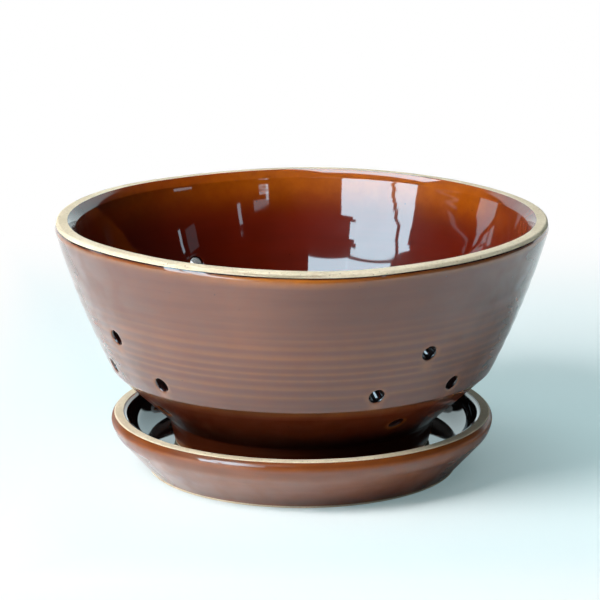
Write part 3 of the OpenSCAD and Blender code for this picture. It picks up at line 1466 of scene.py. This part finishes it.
@dataclass(frozen=True)
class Casement:
    """A window whose outline steps in and out, built of strips in one plane.

    Each row holds its lower and upper edge and then the left and right ends of its panes,
    in degrees from the window's middle as the bowl sees it.
    """

    name: str
    direction: float
    elevation: float
    roll: float
    strength: float
    rows: tuple[tuple[float, ...], ...]

    def hang(self) -> None:
        """Hangs every pane of every row."""
        for number, (low, high, *ends) in enumerate(self.rows):
            for side, (left, right) in enumerate(zip(ends[::2], ends[1::2])):
                Window(f"{self.name}_{number}_{side}", self.direction, self.elevation,
                       right - left, high - low, self.strength, self.roll,
                       (left + right) / 2, (low + high) / 2).hang()


@dataclass
class Studio:
    """The pale table, the light and the camera, in metres and degrees.

    The glaze mirrors the windows and the backdrop. The camera sees pure white behind.
    """

    floor_size: float = 8.0
    floor_colour: Colour = (0.95, 0.96, 0.96)
    glow_colour: Colour = (0.67, 0.97, 1.0)
    room: Colour = (0.004, 0.004, 0.004)
    backdrop: Colour = (0.80, 0.97, 1.0)
    backdrop_end: Colour = (0.60, 0.78, 0.82)
    shade: Colour = (0.06, 0.075, 0.08)
    lit: Colour = (0.43, 0.51, 0.54)
    above: Colour = (0.30, 0.38, 0.40)
    share: float = 0.42
    under_share: float = 0.22
    falloff: float = 0.24
    white_behind: Pair = (0.04, 0.36)
    white_left: Pair = (-0.14, -0.06)
    white_front: Pair = (-0.17, -0.09)
    contact: Pair = (0.05, 0.12)
    dip_left: Pair = (-0.08, 0.04)
    dip_right: Pair = (0.09, 0.19)
    room_side: Pair = (0.86, 0.98)
    room_top: Pair = (0.56, 0.66)
    end_side: Pair = (-0.1, 0.1)
    end_top: Pair = (0.12, 0.25)
    lit_from: Pair = (-0.8, 0.55)
    lit_reach: Pair = (-0.5, 0.6)
    above_from: Pair = (0.45, 0.85)
    windows: tuple[Window | Casement, ...] = (
        Window("key", -54, 40, 30, 24, 19.0, distance=1.0, lights=True,
               colour=(0.96, 0.99, 1.0)),
        Casement("window", -42, 22, 6.9, 6.5, (
            (-16, -2.5, -19.6, 7.2, 9.2, 22.9),
            (-2.5, -1.5, -19.3, 8.0, 10.0, 23.0),
            (-1.5, -0.5, -19.1, 8.9, 10.9, 23.0),
            (-0.5, 0.5, -18.8, 9.9, 11.9, 23.0),
            (0.5, 1.6, -18.4, 11.2, 13.2, 23.2),
            (1.6, 2.3, -11.5, 12.0, 14.0, 23.3),
            (2.3, 3.0, -9.8, 13.0, 15.0, 23.3),
            (3.0, 4.3, -12.6, 13.9, 15.9, 23.2),
            (4.3, 5.4, -9.5, 14.6, 16.6, 22.8),
            (5.4, 6.4, -8.2, 15.1, 17.1, 24.3),
            (6.4, 6.95, -10.8, 15.6, 17.6, 25.0),
            (7.5, 13.0, -12.3, 14.0))),
        Window("table", -42, 22, 26.5, 5.5, 6.5, roll=15.7, right=-26.2, up=8.2),
        Casement("door", -114, 9, 0, 1.3, (
            (-5, -3, -16, 8.8), (-3, -1, -11, 9.3), (-1, 1, -6.5, 10.2),
            (1, 3, -2, 11), (3, 5, 1, 11.5))),
        Window("curtain", -83.7, 13.8, 16.5, 0.4, 0.45, roll=5.5),
        Window("curtain_hem", -96.8, 14.0, 20, 0.5, 0.45, roll=5.6),
        Window("skylight", -115, 72, 20, 32, 5.5),
        Window("shelf_slit", 35.6, 24.2, 1.7, 3.4, 2.0),
        Window("shelf_jar", 22.5, 23.3, 8.0, 1.0, 1.0),
        Window("shelf_edge", 20.5, 21.4, 5.0, 0.5, 2.0),
        Window("shelf_end", 18.8, 22.2, 1.3, 1.7, 3.2),
        Window("far_lamp", 67, 15.8, 11, 1.0, 1.5, roll=-8),
        Window("far_pane", 68, 22.3, 6.5, 2.6, 0.25),
        Window("far_slit", 75.5, 21.2, 1.4, 2.4, 2.2),
    )
    lens_px: float = 2964.0
    picture_px: float = 600.0
    sensor: float = 36.0
    distance: float = 1.02
    elevation: float = 13.9
    aim: tuple[float, float, float] = (-0.00065, 0.0, 0.0579)

    def floor(self) -> None:
        """Lays the floor, which turns pure white for the camera away from the bowl."""
        begin()
        bpy.ops.mesh.primitive_plane_add(size=self.floor_size, location=(0, 0, 0))
        floor = bpy.context.object
        floor.name = "floor"
        material, made = new_material("pale_floor")
        place = made.place()
        axes = made.axes(place)
        path = made.add("ShaderNodeLightPath").outputs
        mirrored = made.math("ADD", path["Is Glossy Ray"], path["Is Transmission Ray"],
                             clamp=True)
        far = made.ramp(axes["Y"], *self.white_behind)
        clear = made.math("MAXIMUM", made.fall(axes["X"], *self.white_left),
                          made.fall(axes["Y"], *self.white_front))
        clear = made.math("MAXIMUM", far, clear)
        # Near the bowl the floor glows less for the camera, so the contact shade stays dark;
        # the cyan glow is painted light that lifts and tints the floor's real shadow.
        reach = made.add("ShaderNodeVectorMath", {0: place}, operation="LENGTH")
        nearby = made.ramp(reach.outputs["Value"], *self.contact,
                           self.under_share, self.share)
        seen = made.times(made.math("MAXIMUM", nearby, clear), path["Is Camera Ray"])
        white_share = made.math("MAXIMUM", made.times(far, mirrored), seen)
        # For reflections, painted shade darkens a strip of floor just right of the middle,
        # which the glaze mirrors.
        dip = made.times(made.ramp(axes["X"], *self.dip_left),
                         made.fall(axes["X"], *self.dip_right), mirrored, self.falloff)
        cloth = made.add("ShaderNodeBsdfDiffuse", {
            "Color": made.mix(dip, self.floor_colour, (0.0, 0.0, 0.0))})
        white = made.add("ShaderNodeEmission", {
            "Color": made.mix(clear, self.glow_colour, (1.0, 1.0, 1.0)), "Strength": 1.0})
        mixed = made.add("ShaderNodeMixShader", {
            0: white_share, 1: cloth.outputs[0], 2: white.outputs[0]})
        made.add("ShaderNodeOutputMaterial", {"Surface": mixed.outputs[0]})
        floor.data.materials.append(material)

    def world(self) -> None:
        """Sets an even soft light, a white backdrop and a dark room for the glaze."""
        world = bpy.data.worlds.new("studio")
        bpy.context.scene.world = world
        world.use_nodes = True
        made = Tree(world.node_tree)
        axes = made.axes(made.add("ShaderNodeTexCoord").outputs["Generated"])
        path = made.add("ShaderNodeLightPath").outputs
        sideways = made.math("DIVIDE", made.math("ABSOLUTE", axes["X"]),
                             made.math("MAXIMUM", axes["Y"], 0.001))
        within = made.times(made.fall(sideways, *self.room_side),
                            made.fall(axes["Z"], *self.room_top),
                            made.ramp(axes["Y"], 0.0, 0.05))
        end = made.times(made.ramp(axes["X"], *self.end_side),
                         made.ramp(axes["Z"], *self.end_top))
        wall = made.mix(end, self.backdrop, self.backdrop_end)
        mirrored = made.mix(within, self.room, wall)
        lit = made.math("ADD", made.times(axes["Y"], self.lit_from[1]),
                        made.times(axes["X"], self.lit_from[0]))
        low = made.mix(made.ramp(lit, *self.lit_reach), self.shade, self.lit)
        soft = made.mix(made.ramp(axes["Z"], *self.above_from), low, self.above)
        colour = made.mix(path["Is Glossy Ray"], soft, mirrored)
        straight = made.math("ADD", path["Is Camera Ray"], path["Is Transmission Ray"],
                             clamp=True)
        ground = made.add("ShaderNodeBackground", {
            "Color": made.mix(straight, colour, (1.0, 1.0, 1.0)), "Strength": 1.0})
        made.add("ShaderNodeOutputWorld", {"Surface": ground.outputs[0]})

    def camera(self) -> None:
        """Stands the camera where the photograph was taken from."""
        lift = math.radians(self.elevation)
        back = Vector((0, -math.cos(lift), math.sin(lift))) * self.distance
        begin()
        bpy.ops.object.camera_add(location=Vector(self.aim) + back,
                                  rotation=(math.pi / 2 - lift, 0, 0))
        camera = bpy.context.object
        camera.data.sensor_width = self.sensor
        camera.data.lens = self.lens_px * self.sensor / self.picture_px
        bpy.context.scene.camera = camera

    def set_up(self) -> None:
        """Sets up the whole studio."""
        bpy.context.scene.view_settings.view_transform = "Standard"
        self.camera()
        self.floor()
        self.world()
        for window in self.windows:
            window.hang()


def report(piece: bpy.types.Object) -> None:
    """Logs a piece's size and how many triangles it has.

    Args:
        piece: The piece.
    """
    piece.data.calc_loop_triangles()
    size = ", ".join(f"{side / MM:.1f}" for side in piece.dimensions)
    LOG.info("%s: %s mm, %d triangles", piece.name, size, len(piece.data.loop_triangles))


def main() -> None:
    logging.basicConfig(level=logging.INFO, format="%(name)s: %(message)s")
    Studio().set_up()
    finishes = all_finishes()
    report(DripSaucer().build(finishes))
    report(ColanderBowl().build(finishes))
    begin()


if __name__ == "__main__":
    main()
